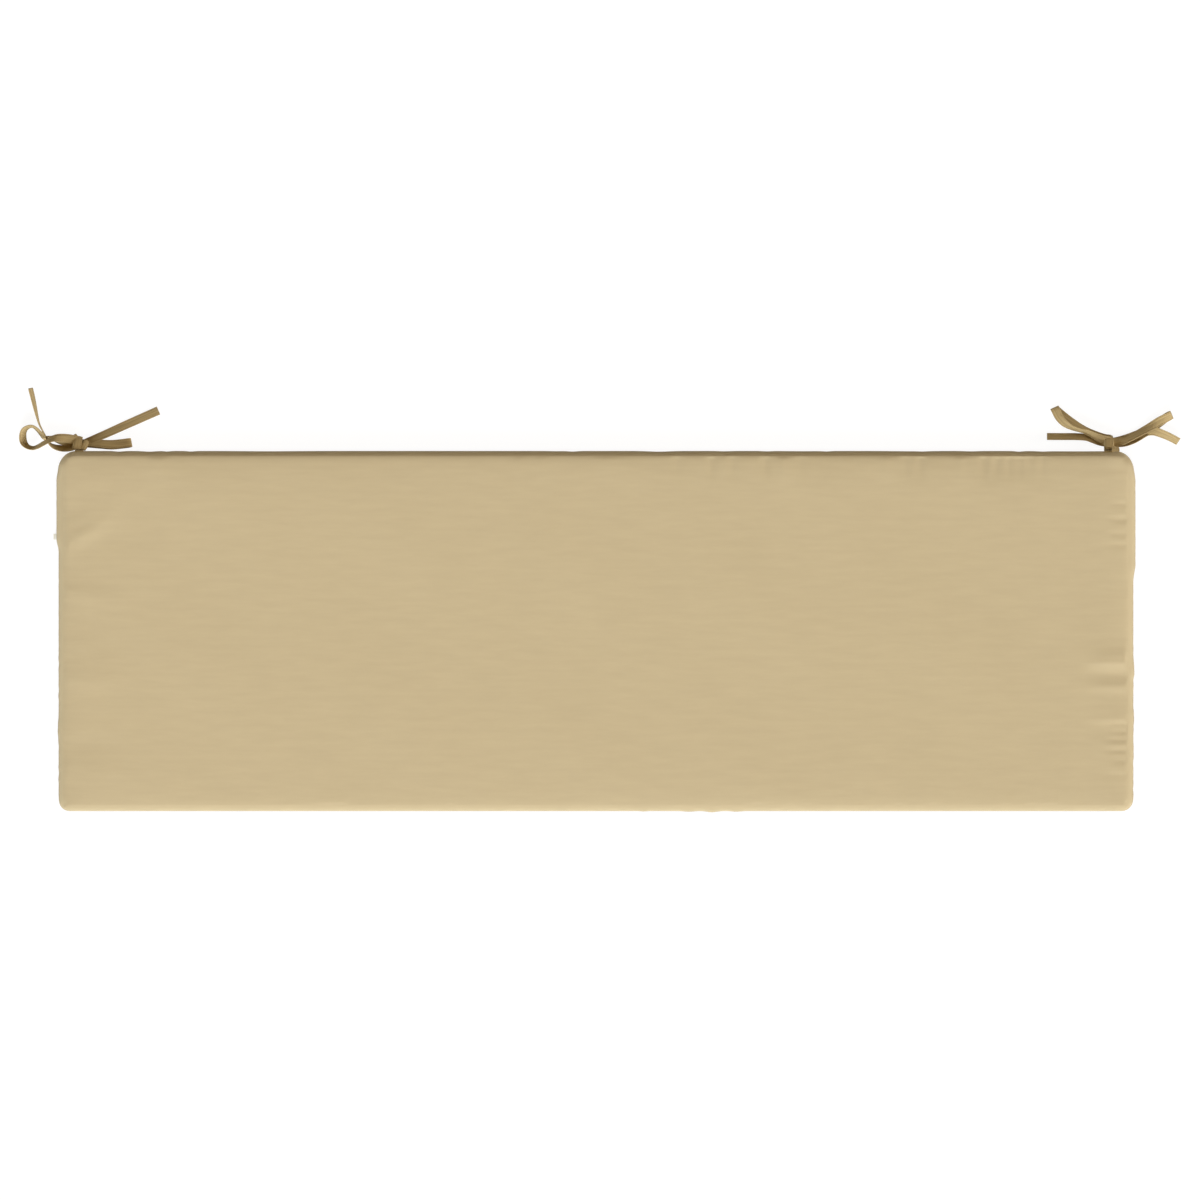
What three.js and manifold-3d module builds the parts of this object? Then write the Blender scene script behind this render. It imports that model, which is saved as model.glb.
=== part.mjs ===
// A long thin tie-on bench cushion lying on its back. Millimetres, +X along its length, +Y towards
// the edge with the ties, +Z up from the surface it lies on. The origin is the middle of its back.
import * as THREE from 'three';
import { mergeGeometries, mergeVertices } from 'three/addons/utils/BufferGeometryUtils.js';
import Module from 'manifold-3d';

const wasm = await Module();
wasm.setup();

// The cushion: the seam line between front panel and side strip is a rounded rectangle.
const seamHalfLength = 742;
const seamHalfWidth = 243;
const topCornerRadius = 18;
const lowCornerRadius = 9;
const backSeamHeight = 3;
const frontSeamHeight = 27;
const plateauInset = 120;
const backFlatInset = 14;
const endBulge = 6.5;
const longEdgeBulge = 7.3;
const cornerSteps = 5;

// The front panel rises fast beside its seam and slowly over the rest.
const crown = { edgeRise: 3.6, edgeReach: 8, slowRise: 1.7, slowReach: 60 };

// The ties: flat cloth tape.
const tapeWidth = 12.5;
const tapeThickness = 1.2;
const leftKnot = { x: -717.7, y: 262.7 };
const rightKnot = { x: 715, y: 262.7 };

// Turns the rows of a short table into objects with the named columns.
function namedRows(columns, rows) {
  return rows.map((row) => Object.fromEntries(columns.map((name, i) => [name, row[i]])));
}

// How far along each straight edge the outline's points lie, counter-clockwise, closer together
// where the cloth puckers.
const edgeSpans = {
  bottom: namedRows(['end', 'step'], [[80, 34], [220, 10], [460, 34], [640, 16], [733, 24]]),
  right: namedRows(['end', 'step'], [[-215, 10], [-120, 5], [-20, 7], [100, 20], [225, 11]]),
  top: namedRows(
    ['end', 'step'],
    [[620, 14], [490, 6.5], [280, 22], [110, 12], [-60, 20], [-170, 11], [-724, 27]]
  ),
  left: namedRows(['end', 'step'], [[170, 11], [80, 8], [20, 10], [-234, 21]]),
};

// Places where the side strip swells past its usual bulge, or falls short of it.
const stripSwells = namedRows(['x', 'y', 'spread', 'out'], [
  [-742, -138, 12, 1.3],
  [742, -55, 14, 1.4],
  [742, -124, 12, 1.0],
  [742, -166, 9, 0.6],
  [67, -243, 5, 0.6],
  [130, -243, 9, 0.9],
  [162, -243, 9, 1.7],
  [196, -243, 8, 0.9],
  [-560, 243, 30, -0.5],
  [-470, 243, 22, 0.4],
  [-300, 243, 40, -0.5],
  [-120, 243, 25, 0.4],
  [30, 243, 35, -0.5],
  [190, 243, 30, 0.4],
  [330, 243, 30, -0.4],
  [520, 243, 20, 0.4],
  [660, 243, 70, -1.0],
]);

// The upper part of each end swells further, down to a short soft step.
const endStep = {
  out: 3,
  leftFrom: 110,
  leftTo: 128,
  rightFrom: 68,
  rightTo: 93,
  topFrom: 208,
  topTo: 234,
};

// Puckers of the front panel: each starts at x, y, runs in the plan direction az for its reach,
// and is a trough where depth is positive or a ridge where it is negative.
const puckers = namedRows(['x', 'y', 'az', 'reach', 'width', 'depth'], [
  [740, -30, 180, 60, 8, 0.35],
  [740, -51, 180, 62, 6, -0.8],
  [740, -72, 180, 70, 6, 0.9],
  [740, -86, 180, 62, 6, -0.5],
  [740, -127, 180, 45, 6, -0.3],
  [740, -143, 180, 26, 4.5, 0.5],
  [740, -157, 180, 28, 4.5, 0.7],
  [740, -173, 180, 30, 4.5, 0.8],
  [740, -188, 180, 24, 4.5, 0.6],
  [740, -202, 180, 20, 4.5, 0.4],
  [740, 211, 180, 24, 6, -0.4],
  [740, 196, 180, 20, 5, 0.5],
  [740, 148, 180, 24, 5, 0.5],
  [740, 132, 180, 22, 5, 0.4],
  [740, 114, 180, 26, 6, 0.4],
  [-728, 134, 22, 45, 10, 0.9],
  [-742, 112, 28, 105, 10, -1.0],
  [-738, 188, 40, 30, 8, -0.4],
  [-741, 73, 0, 60, 9, 0.3],
  [-741, 37, 0, 75, 10, -0.5],
  [-741, -4, 0, 50, 9, -0.3],
  [-108, 242, -90, 30, 8, 0.4],
  [-8, 242, -90, 34, 7, 0.5],
  [168, 242, -90, 34, 8, 0.4],
  [268, 242, -90, 36, 7, 0.5],
  [500, 242, -90, 26, 6, 0.4],
  [530, 242, -90, 40, 6, -0.7],
  [544, 242, -90, 38, 5, 0.8],
  [560, 242, -90, 30, 5, 0.4],
  [573, 242, -90, 30, 5, 0.4],
  [585, 242, -90, 38, 5, -0.8],
  [595, 242, -90, 36, 5, 0.8],
  [611, 242, -90, 24, 6, 0.4],
]);

function smoothStep(value, from, to) {
  const share = THREE.MathUtils.clamp((value - from) / (to - from), 0, 1);
  return share * share * (3 - 2 * share);
}

// The points of one straight edge, from start to the last span's end.
function spreadAlong(start, spans) {
  const places = [start];
  let from = start;
  for (const { end, step } of spans) {
    const count = Math.max(1, Math.round(Math.abs(end - from) / step));
    for (let i = 1; i <= count; i += 1) {
      places.push(from + ((end - from) * i) / count);
    }
    from = end;
  }
  return places;
}

function cornerPoints(x, y, radius, startDegrees) {
  const points = [];
  for (let i = 1; i < cornerSteps; i += 1) {
    const angle = THREE.MathUtils.degToRad(startDegrees + (90 * i) / cornerSteps);
    const nx = Math.cos(angle);
    const ny = Math.sin(angle);
    points.push({ x: x + radius * nx, y: y + radius * ny, nx, ny });
  }
  return points;
}

// The seam line as points with outward normals, counter-clockwise from the low left corner.
function seamOutline() {
  const length = seamHalfLength;
  const width = seamHalfWidth;
  const low = lowCornerRadius;
  const top = topCornerRadius;
  const along = (start, spans, place) => spreadAlong(start, spans).map(place);
  const onBottom = (x) => ({ x, y: -width, nx: 0, ny: -1 });
  const onRight = (y) => ({ x: length, y, nx: 1, ny: 0 });
  const onTop = (x) => ({ x, y: width, nx: 0, ny: 1 });
  const onLeft = (y) => ({ x: -length, y, nx: -1, ny: 0 });
  return [
    ...along(low - length, edgeSpans.bottom, onBottom),
    ...cornerPoints(length - low, low - width, low, -90),
    ...along(low - width, edgeSpans.right, onRight),
    ...cornerPoints(length - top, width - top, top, 0),
    ...along(length - top, edgeSpans.top, onTop),
    ...cornerPoints(top - length, width - top, top, 90),
    ...along(width - top, edgeSpans.left, onLeft),
    ...cornerPoints(low - length, low - width, low, 180),
  ];
}

// The side strip's bulge past the seam at one point of the outline.
function bulgeAt(point) {
  let bulge = endBulge * point.nx ** 2 + longEdgeBulge * point.ny ** 2;
  const low =
    point.x < 0
      ? smoothStep(point.y, endStep.leftFrom, endStep.leftTo)
      : smoothStep(point.y, endStep.rightFrom, endStep.rightTo);
  const high = 1 - smoothStep(point.y, endStep.topFrom, endStep.topTo);
  bulge += endStep.out * low * high * point.nx ** 2;
  for (const { x, y, spread, out } of stripSwells) {
    const squared = ((point.x - x) ** 2 + (point.y - y) ** 2) / spread ** 2;
    bulge += out * Math.exp(-squared);
  }
  return bulge;
}

// How deep the front panel is puckered at a point that lies inset from the seam.
function puckerDepth(px, py, inset) {
  let depth = 0;
  for (const { x, y, az, reach, width, depth: most } of puckers) {
    const angle = THREE.MathUtils.degToRad(az);
    const along = (px - x) * Math.cos(angle) + (py - y) * Math.sin(angle);
    const across = (py - y) * Math.cos(angle) - (px - x) * Math.sin(angle);
    const fade = smoothStep(along, -8, 4) * (1 - smoothStep(along, reach * 0.4, reach * 1.2));
    depth += most * fade * Math.exp(-((across / width) ** 2));
  }
  return depth * smoothStep(inset, 0, 4) * (1 - smoothStep(inset, 90, plateauInset));
}

function crownRise(inset) {
  const edge = crown.edgeRise * (1 - Math.exp(-inset / crown.edgeReach));
  const slow = crown.slowRise * (1 - Math.exp(-inset / crown.slowReach));
  return edge + slow;
}

// The rings of the cushion's skin, from the front panel's middle over the side strip to the back.
function skinRings() {
  const front = [plateauInset, 70, 42, 27, 17, 10, 5.5, 2.2].map((inset) => ({ front: inset }));
  const strip = [64.4, 44, 22, 0, -22, -44, -64.4].map((angle) => ({ strip: angle }));
  const back = [3, 8, backFlatInset].map((inset) => ({ back: inset }));
  return [...front, ...strip, ...back];
}

function insetFrom(point, inset) {
  return {
    x: point.x * (1 - inset / seamHalfLength),
    y: point.y * (1 - inset / seamHalfWidth),
  };
}

function skinPoint(ring, point) {
  if (ring.front !== undefined) {
    const { x, y } = insetFrom(point, ring.front);
    const z = frontSeamHeight + crownRise(ring.front) - puckerDepth(x, y, ring.front);
    return new THREE.Vector3(x, y, z);
  }
  if (ring.back !== undefined) {
    const { x, y } = insetFrom(point, ring.back);
    const z = backSeamHeight * (1 - ring.back / backFlatInset) ** 2;
    return new THREE.Vector3(x, y, z);
  }
  // The strip is an arc between the two seams, which draw it in.
  const widest = THREE.MathUtils.degToRad(64.4);
  const angle = THREE.MathUtils.degToRad(ring.strip);
  const share = (Math.cos(angle) - Math.cos(widest)) / (1 - Math.cos(widest));
  const out = bulgeAt(point) * share;
  const middle = (frontSeamHeight + backSeamHeight) / 2;
  const half = (frontSeamHeight - backSeamHeight) / 2;
  const z = middle + (half * Math.sin(angle)) / Math.sin(widest);
  return new THREE.Vector3(point.x + point.nx * out, point.y + point.ny * out, z);
}

function flatCap(points, facingUp) {
  const outline = new THREE.Shape(points.map(({ x, y }) => new THREE.Vector2(x, y)));
  const cap = new THREE.ShapeGeometry(outline);
  cap.translate(0, 0, points[0].z);
  if (!facingUp) {
    cap.index.array.reverse();
  }
  return cap;
}

function onlyPositions(geometry) {
  const bare = new THREE.BufferGeometry();
  bare.setAttribute('position', geometry.getAttribute('position'));
  bare.setIndex(geometry.index);
  return bare;
}

// The filled cushion: a sheet wrapped round the outline, closed by two flat middles.
function cushionGeometry() {
  const outline = seamOutline();
  const rings = skinRings();
  const skin = new THREE.PlaneGeometry(1, 1, outline.length, rings.length - 1);
  const places = skin.getAttribute('position');
  for (let row = 0; row < rings.length; row += 1) {
    for (let column = 0; column <= outline.length; column += 1) {
      const place = skinPoint(rings[row], outline[column % outline.length]);
      places.setXYZ(row * (outline.length + 1) + column, place.x, place.y, place.z);
    }
  }
  const frontMiddle = flatCap(outline.map((point) => skinPoint(rings[0], point)), true);
  const backMiddle = flatCap(outline.map((point) => skinPoint(rings.at(-1), point)), false);
  const parts = [skin, frontMiddle, backMiddle].map(onlyPositions);
  return mergeVertices(mergeGeometries(parts), 0.001);
}

// A flat tape along a path: az is the plan direction of its width and el how steeply that rises.
function tapeGeometry(path) {
  const centres = path.map(({ x, y, z }) => new THREE.Vector3(x, y, z));
  const widths = path.map(({ az, el }) => {
    const turn = THREE.MathUtils.degToRad(az);
    const rise = THREE.MathUtils.degToRad(el);
    const level = Math.cos(rise);
    return new THREE.Vector3(level * Math.cos(turn), level * Math.sin(turn), Math.sin(rise));
  });
  const line = new THREE.CatmullRomCurve3(centres, false, 'centripetal');
  const lean = new THREE.CatmullRomCurve3(widths, false, 'centripetal');
  const tape = new THREE.BoxGeometry(1, 1, 1, (path.length - 1) * 3, 1, 1);
  const places = tape.getAttribute('position');
  for (let i = 0; i < places.count; i += 1) {
    const share = places.getX(i) + 0.5;
    const forward = line.getTangent(share);
    const across = lean.getPoint(share);
    across.addScaledVector(forward, -across.dot(forward)).normalize();
    const face = new THREE.Vector3().crossVectors(forward, across);
    const place = line.getPoint(share);
    place.addScaledVector(across, places.getY(i) * tapeWidth);
    place.addScaledVector(face, places.getZ(i) * tapeThickness);
    places.setXYZ(i, place.x, place.y, place.z);
  }
  return tape;
}

// One lobe of a knot: a sphere squared off into a pillow.
function knotLobe({ x, y, z, across, along, high, turn }) {
  const lobe = new THREE.SphereGeometry(1, 16, 10);
  const places = lobe.getAttribute('position');
  const blunt = (value) => Math.sign(value) * Math.abs(value) ** 0.66;
  for (let i = 0; i < places.count; i += 1) {
    places.setXYZ(
      i,
      (across / 2) * blunt(places.getX(i)),
      (high / 2) * blunt(places.getY(i)),
      (along / 2) * blunt(places.getZ(i))
    );
  }
  lobe.rotateX(Math.PI / 2);
  lobe.rotateZ(THREE.MathUtils.degToRad(turn));
  lobe.translate(x, y, z);
  return lobe;
}

// The tape's turn round the knot: a blunt oval block as deep as the tape is wide.
function knotBand({ x, y, z, along, high, deep, turn }) {
  const count = 20;
  const blunt = (value) => Math.sign(value) * Math.abs(value) ** 0.75;
  const outline = [];
  for (let i = 0; i < count; i += 1) {
    const angle = (2 * Math.PI * i) / count;
    const side = (along / 2) * blunt(Math.cos(angle));
    outline.push(new THREE.Vector2(side, (high / 2) * blunt(Math.sin(angle))));
  }
  const shape = new THREE.Shape(outline);
  const band = new THREE.ExtrudeGeometry(shape, { depth: deep, bevelEnabled: false });
  band.translate(0, 0, -deep / 2);
  band.rotateX(Math.PI / 2);
  band.rotateZ(Math.PI / 2 + THREE.MathUtils.degToRad(turn));
  band.translate(x, y, z);
  return band;
}

function toSolid(geometry) {
  const bare = mergeVertices(geometry.index ? onlyPositions(geometry) : bareSoup(geometry), 0.0001);
  return new wasm.Manifold(
    new wasm.Mesh({
      numProp: 3,
      vertProperties: new Float32Array(bare.getAttribute('position').array),
      triVerts: new Uint32Array(bare.index.array),
    })
  );
}

function bareSoup(geometry) {
  const bare = new THREE.BufferGeometry();
  bare.setAttribute('position', geometry.getAttribute('position'));
  return bare;
}

function joinedGeometry(pieces) {
  const joined = pieces.map(toSolid).reduce((sum, piece) => sum.add(piece));
  const { vertProperties, triVerts } = joined.getMesh();
  const geometry = new THREE.BufferGeometry();
  geometry.setAttribute('position', new THREE.BufferAttribute(vertProperties, 3));
  geometry.setIndex(new THREE.BufferAttribute(triVerts, 1));
  return geometry;
}

const pathColumns = ['x', 'y', 'z', 'az', 'el'];

// From the front seam down the side strip to the knot, x across from the knot's middle.
function stubPath(knot, x) {
  return namedRows(pathColumns, [
    [x, 243.7 - knot.y, 27.75, 0, 0],
    [x, 247.4 - knot.y, 25.1, 0, 0],
    [x, 250.4 - knot.y, 20.3, 0, 0],
    [x, 251.5 - knot.y, 15.5, 0, 0],
    [x, 252.5 - knot.y, 11, 0, 0],
    [x, 255 - knot.y, 7.6, 0, 0],
    [x, 259.5 - knot.y, 6.6, 0, 0],
  ]);
}

// The left bow, from its knot's middle: an open loop to the left with one free end bent up past
// it, and a flat loop to the right with the other free end over the surface above it.
function leftTiePaths() {
  return [
    stubPath(leftKnot, -2),
    // The open loop, out over its own crossing and back under it.
    namedRows(pathColumns, [
      [-2, 1, 9.4, 262, 8],
      [-9, 3.6, 10.6, 260, 10],
      [-18, 5.2, 11.8, 262, 14],
      [-28.5, 5.6, 13.6, 268, 24],
      [-37, 4.4, 16, 280, 42],
      [-44.5, 1.4, 17.4, 297, 58],
      [-52, -2.4, 14.4, 300, 64],
      [-59, -6.2, 10, 290, 66],
      [-66, -8.3, 7.2, 270, 66],
      [-73, -6, 6.4, 235, 58],
      [-78.4, -0.6, 5.8, 205, 48],
      [-80.3, 7.8, 5.6, 180, 44],
      [-78.2, 16.2, 5.8, 150, 50],
      [-73, 20.6, 6.4, 120, 60],
      [-66.6, 21.6, 6.7, 85, 66],
      [-60.4, 18, 6.9, 58, 66],
      [-54.9, 12, 7, 48, 64],
      [-49.4, 6.2, 6.9, 50, 60],
      [-43.4, 3.6, 6.6, 66, 54],
      [-35.5, 2.6, 6.2, 80, 46],
      [-26, 1.6, 6.2, 86, 42],
      [-15, 0.4, 6.6, 88, 34],
      [-3, -0.6, 7, 90, 20],
    ]),
    // The free end that leaves to the left, bends round under the crossing and runs up the page.
    namedRows(pathColumns, [
      [-2, -3.6, 6, 90, -48],
      [-10, -7.6, 5.6, 86, -48],
      [-20, -8.9, 5.4, 88, -46],
      [-29, -8.2, 5.6, 82, -48],
      [-36.5, -6.2, 6.2, 68, -60],
      [-42, -2.6, 6.6, 52, -74],
      [-45.6, 3, 6.9, 38, -82],
      [-49, 9.6, 7, 30, -84],
      [-53, 17, 7, 26, -84],
      [-57, 25.4, 6.9, 20, -82],
      [-60, 36, 6.7, 14, -76],
      [-63.2, 50, 6.4, 12, -67],
      [-66.4, 64, 6.2, 12, -61],
      [-69.2, 75.4, 6.1, 12, -60],
    ]),
    // The flat loop to the right: out on top, folded over its end, back underneath.
    namedRows(pathColumns, [
      [3, -1.5, 9, 90, -46],
      [12, -2.4, 9.4, 90, -36],
      [27, -3, 9.2, 90, -27],
      [44, -3.4, 8.8, 88, -21],
      [58, -1.8, 8, 85, -17],
      [66.5, -0.4, 7.5, 83, -14],
      [70, 0, 5.6, 83, -10],
      [68, -0.4, 3, 83, -6],
      [60, -1.6, 1.7, 84, -3],
      [44, -3.8, 1.6, 88, -3],
      [27, -3.7, 2, 90, -6],
      [13, -3.2, 3.6, 90, -16],
      [3, -2.6, 5.2, 90, -30],
    ]),
    // The free end that lies to the right and up the page.
    namedRows(pathColumns, [
      [3, -1, 6.4, 100, -50],
      [12, 1.6, 5.8, 106, -40],
      [24, 6.4, 4.4, 112, -28],
      [40, 13.6, 3.2, 114, -18],
      [62, 23, 2.7, 114, -13],
      [85, 33, 2.5, 114, -11],
      [108.4, 43.3, 2.4, 114, -10],
    ]),
  ];
}

// The right bow, from its knot's middle: a folded loop and a free end on each side.
function rightTiePaths() {
  return [
    stubPath(rightKnot, -0.2),
    // The second tape end, taut from the seam to the knot's right side.
    namedRows(pathColumns, [
      [7.4, -18.9, 27.8, 0, 0],
      [7.8, -15.3, 25.1, 0, 0],
      [8.6, -12.1, 20.4, 0, -10],
      [9.2, -10.4, 15.2, -8, -20],
      [9.4, -8.4, 10.6, -20, -34],
      [8.8, -5.6, 7.4, -20, -34],
      [6, -1, 6.2, 0, -20],
    ]),
    // The left loop: out on top, folded over its end, back underneath along its upper side.
    namedRows(pathColumns, [
      [3, 1.6, 10.4, 256, -10],
      [-8, 3.4, 10.6, 252, -16],
      [-19, 7.4, 10.6, 246, -30],
      [-30, 12, 11, 244, -46],
      [-41, 16.2, 11.4, 242, -62],
      [-51.5, 22, 11, 238, -58],
      [-61, 30.2, 9.6, 230, -34],
      [-68.5, 38.6, 8.4, 218, -22],
      [-74.3, 46, 7.2, 205, -16],
      [-75.6, 48.2, 5.2, 203, -8],
      [-73.6, 45.2, 2.9, 205, 2],
      [-65, 37, 2.4, 222, 10],
      [-53, 27.2, 3.4, 232, 22],
      [-41.5, 17.4, 4.4, 238, 26],
      [-30, 11.6, 5, 246, 24],
      [-18, 7.8, 5.6, 252, 16],
      [-6, 4.6, 6.4, 256, 8],
      [3, 4, 6.6, 256, 0],
    ]),
    // The free end that lies straight to the left.
    namedRows(pathColumns, [
      [2, -2, 6.8, 80, -58],
      [-6, -2.8, 6.3, 76, -60],
      [-14, -0.8, 5.9, 72, -56],
      [-22, 2.8, 5.6, 76, -50],
      [-31, 6.4, 5.4, 86, -46],
      [-45, 7.6, 5.3, 90, -45],
      [-65, 7.7, 5.2, 90, -44],
      [-86.1, 7.8, 5.2, 90, -44],
    ]),
    // The right loop: out on top, folded over its end, back underneath along its lower side.
    namedRows(pathColumns, [
      [-3, 0.4, 10, 95, -24],
      [5, 0.2, 10.2, 96, -28],
      [14, 0, 10.4, 104, -30],
      [27, 4.6, 10.4, 116, -30],
      [44, 13.6, 9.8, 120, -26],
      [59, 22, 8.8, 120, -18],
      [73, 29.8, 7.6, 116, -4],
      [85, 36, 6.2, 113, 4],
      [88, 37.4, 4.6, 113, 3],
      [85.4, 35.8, 2.8, 113, 2],
      [75, 29.8, 2.2, 116, 0],
      [60, 20, 3.8, 122, -8],
      [46, 11, 5, 122, -14],
      [33, 3.6, 5.4, 116, -18],
      [20, -0.8, 5.8, 106, -20],
      [8, -1.8, 6.4, 96, -20],
      [-2, -1.6, 6.6, 94, -16],
    ]),
    // The free end that leaves under the right loop and bends down the page.
    namedRows(pathColumns, [
      [2, -0.6, 4.4, 100, 4],
      [12, 1, 2.6, 108, 2],
      [26, 5, 1.6, 114, 2],
      [40, 10.2, 1.6, 108, 4],
      [51, 14, 2.2, 96, 12],
      [62, 15.4, 3.6, 80, 24],
      [74, 11.6, 4.5, 68, 32],
      [86, 6.6, 4.9, 63, 35],
      [96.8, 1.2, 4.9, 62, 35],
    ]),
  ];
}

function tieGeometry(knot, paths, knotPieces) {
  const tie = joinedGeometry([...knotPieces, ...paths.map(tapeGeometry)]);
  tie.translate(knot.x, knot.y, 0);
  return tie;
}

// A short tab of white tape, folded in two, that sticks out past the left end.
function tabGeometry() {
  const { x, y, width, reach, thickness } = { x: -742.9, y: 131.5, width: 8, reach: 13.3, thickness: 1 };
  const tab = new THREE.BoxGeometry(reach, width, thickness, 6, 2, 1);
  const places = tab.getAttribute('position');
  for (let i = 0; i < places.count; i += 1) {
    const out = places.getX(i) + reach / 2;
    const lift = 2.55 + 0.008 * out ** 2;
    places.setXYZ(i, x - out, y - places.getY(i) - 0.06 * out, lift + places.getZ(i));
  }
  return mergeVertices(onlyPositions(tab), 0.001);
}

function namedMesh(name, geometry, color, roughness) {
  geometry.computeVertexNormals();
  const material = new THREE.MeshStandardMaterial({ color, roughness, metalness: 0 });
  const mesh = new THREE.Mesh(geometry, material);
  mesh.name = name;
  return mesh;
}

// The left knot is a crossed turn that shows two lobes and a small peak of tape.
const leftKnotPieces = [
  knotLobe({ x: -2.7, y: 0.6, z: 7.3, across: 15.4, along: 19.8, high: 13.8, turn: 5 }),
  knotLobe({ x: 5.5, y: -4.4, z: 7.6, across: 10.8, along: 12.4, high: 13, turn: -24 }),
  knotLobe({ x: -5.6, y: 8.8, z: 7.6, across: 6, along: 5.6, high: 5, turn: 30 }),
];

// The right knot is one flat turn of the tape.
const rightKnotPieces = [
  knotBand({ x: 0.4, y: 0.2, z: 7.2, along: 19, high: 13.4, deep: 12.6, turn: 1 }),
  knotLobe({ x: 4.6, y: -6, z: 7, across: 6, along: 8, high: 11, turn: 0 }),
];

const group = new THREE.Group();
group.add(
  namedMesh('cushion', cushionGeometry(), 0xcbb890, 0.9),
  namedMesh('tie_left', tieGeometry(leftKnot, leftTiePaths(), leftKnotPieces), 0xb39a70, 0.88),
  namedMesh('tie_right', tieGeometry(rightKnot, rightTiePaths(), rightKnotPieces), 0xb39a70, 0.88),
  namedMesh('side_tab', tabGeometry(), 0xd8d9d5, 0.8)
);

export default group;
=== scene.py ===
# A long thin tie-on bench cushion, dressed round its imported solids. Shapes are worked out in
# millimetres, in the same frame as the solids, and turned to metres when a mesh is made.
import math

import bmesh
import bpy
import numpy as np
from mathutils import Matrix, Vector


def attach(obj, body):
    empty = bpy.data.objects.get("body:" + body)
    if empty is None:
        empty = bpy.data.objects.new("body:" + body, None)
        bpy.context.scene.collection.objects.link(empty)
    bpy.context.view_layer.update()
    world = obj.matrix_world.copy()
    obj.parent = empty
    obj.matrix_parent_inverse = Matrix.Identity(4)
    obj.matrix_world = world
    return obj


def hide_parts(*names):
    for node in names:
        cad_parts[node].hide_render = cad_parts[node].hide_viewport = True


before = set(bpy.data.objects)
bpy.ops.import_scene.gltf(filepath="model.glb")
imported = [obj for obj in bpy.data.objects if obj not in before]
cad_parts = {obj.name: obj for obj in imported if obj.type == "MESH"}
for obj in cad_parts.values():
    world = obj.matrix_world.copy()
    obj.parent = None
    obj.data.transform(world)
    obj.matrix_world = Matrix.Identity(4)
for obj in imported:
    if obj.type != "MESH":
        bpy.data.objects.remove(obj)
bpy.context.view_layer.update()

mm = 0.001
metre = 1000
print("frame loaded:", ", ".join(sorted(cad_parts)))


def smoothStep(value, low, high):
    # 0 below low and 1 above high, with the cubic 3s^2 - 2s^3 between
    share = np.clip((value - low) / (high - low), 0, 1)
    return share * share * (3 - 2 * share)


def stations(start, spans):
    # places from start on, spread evenly over each span of (end, step)
    places = [np.array([float(start)])]
    for end, step in spans:
        last = places[-1][-1]
        count = max(1, round(abs(end - last) / step))
        places.append(np.linspace(last, end, count + 1)[1:])
    return np.concatenate(places)


def numbered(rows, columns, start=0):
    # a grid of vertex numbers, row by row
    return start + np.arange(rows * columns).reshape(rows, columns)


def wrapped(grid):
    # a grid whose first column comes again after its last, so that it closes round
    return np.hstack([grid, grid[:, :1]])


def patchFaces(index, flat, flip=False):
    # a grid of vertex numbers, with each one's place on the flat cloth, becomes quads
    corners = [(0, 0), (1, 0), (1, 1), (0, 1)]
    if flip:
        corners.reverse()
    rows, columns = index.shape
    pick = [(slice(r, rows - 1 + r), slice(c, columns - 1 + c)) for r, c in corners]
    quads = np.stack([index[p] for p in pick], -1).reshape(-1, 4)
    flats = np.stack([flat[p] for p in pick], -2).reshape(-1, 4, 2)
    return quads, flats


def makePiece(name, points, patches, material, cap=None):
    # Points in mm and patches of quads become one smooth object with its own cloth UV map. A cap
    # is one flat face over a ring of points, whose places on the cloth are their own x and y.
    faces = np.concatenate([quads for quads, _ in patches]).tolist()
    flats = np.concatenate([flats.reshape(-1, 2) for _, flats in patches])
    if cap is not None:
        faces.append(cap.tolist())
        flats = np.concatenate([flats, points[cap, :2]])
    mesh = bpy.data.meshes.new(name)
    mesh.from_pydata((points * mm).tolist(), [], faces)
    layer = mesh.uv_layers.new(name="cloth")
    layer.uv.foreach_set("vector", (flats * mm).astype(np.float32).ravel())
    mesh.polygons.foreach_set("use_smooth", np.ones(len(mesh.polygons), bool))
    if material:
        mesh.materials.append(material)
    piece = bpy.data.objects.new(name, mesh)
    bpy.context.scene.collection.objects.link(piece)
    return piece


def weldEnds(piece):
    # closes the tape ends and poles, where points of one ring share a place
    cleaned = bmesh.new()
    cleaned.from_mesh(piece.data)
    bmesh.ops.remove_doubles(cleaned, verts=cleaned.verts, dist=1e-6)
    bmesh.ops.recalc_face_normals(cleaned, faces=cleaned.faces)
    cleaned.to_mesh(piece.data)
    cleaned.free()


def toLinear(hexColour, scale=1.0):
    # sRGB hex to linear red, green, blue, with full alpha
    parts = [int(hexColour[i : i + 2], 16) / 255 for i in (0, 2, 4)]
    linear = [p / 12.92 if p < 0.04045 else ((p + 0.055) / 1.055) ** 2.4 for p in parts]
    return [scale * p for p in linear] + [1]


def addNode(tree, kind, inputs=None, **settings):
    # one node: settings are its own, and an input is a value or another node's output
    node = tree.nodes.new(kind)
    for name, value in settings.items():
        setattr(node, name, value)
    for name, value in (inputs or {}).items():
        if isinstance(value, bpy.types.NodeSocket):
            tree.links.new(value, node.inputs[name])
        else:
            node.inputs[name].default_value = value
    return node


def maths(tree, operation, *values):
    # the result of one Math node
    return addNode(tree, "ShaderNodeMath", dict(enumerate(values)), operation=operation).outputs[0]


def shareOf(tree, value, low, high):
    # 0 where the value is low, 1 where it is high, and even between
    limits = {"Value": value, "From Min": low, "From Max": high}
    return addNode(tree, "ShaderNodeMapRange", limits).outputs[0]


def mixColours(tree, share, first, second):
    # the first colour at a share of 0, the second at 1
    colours = {0: share, 6: first, 7: second}
    return addNode(tree, "ShaderNodeMix", colours, data_type="RGBA").outputs[2]


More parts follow.
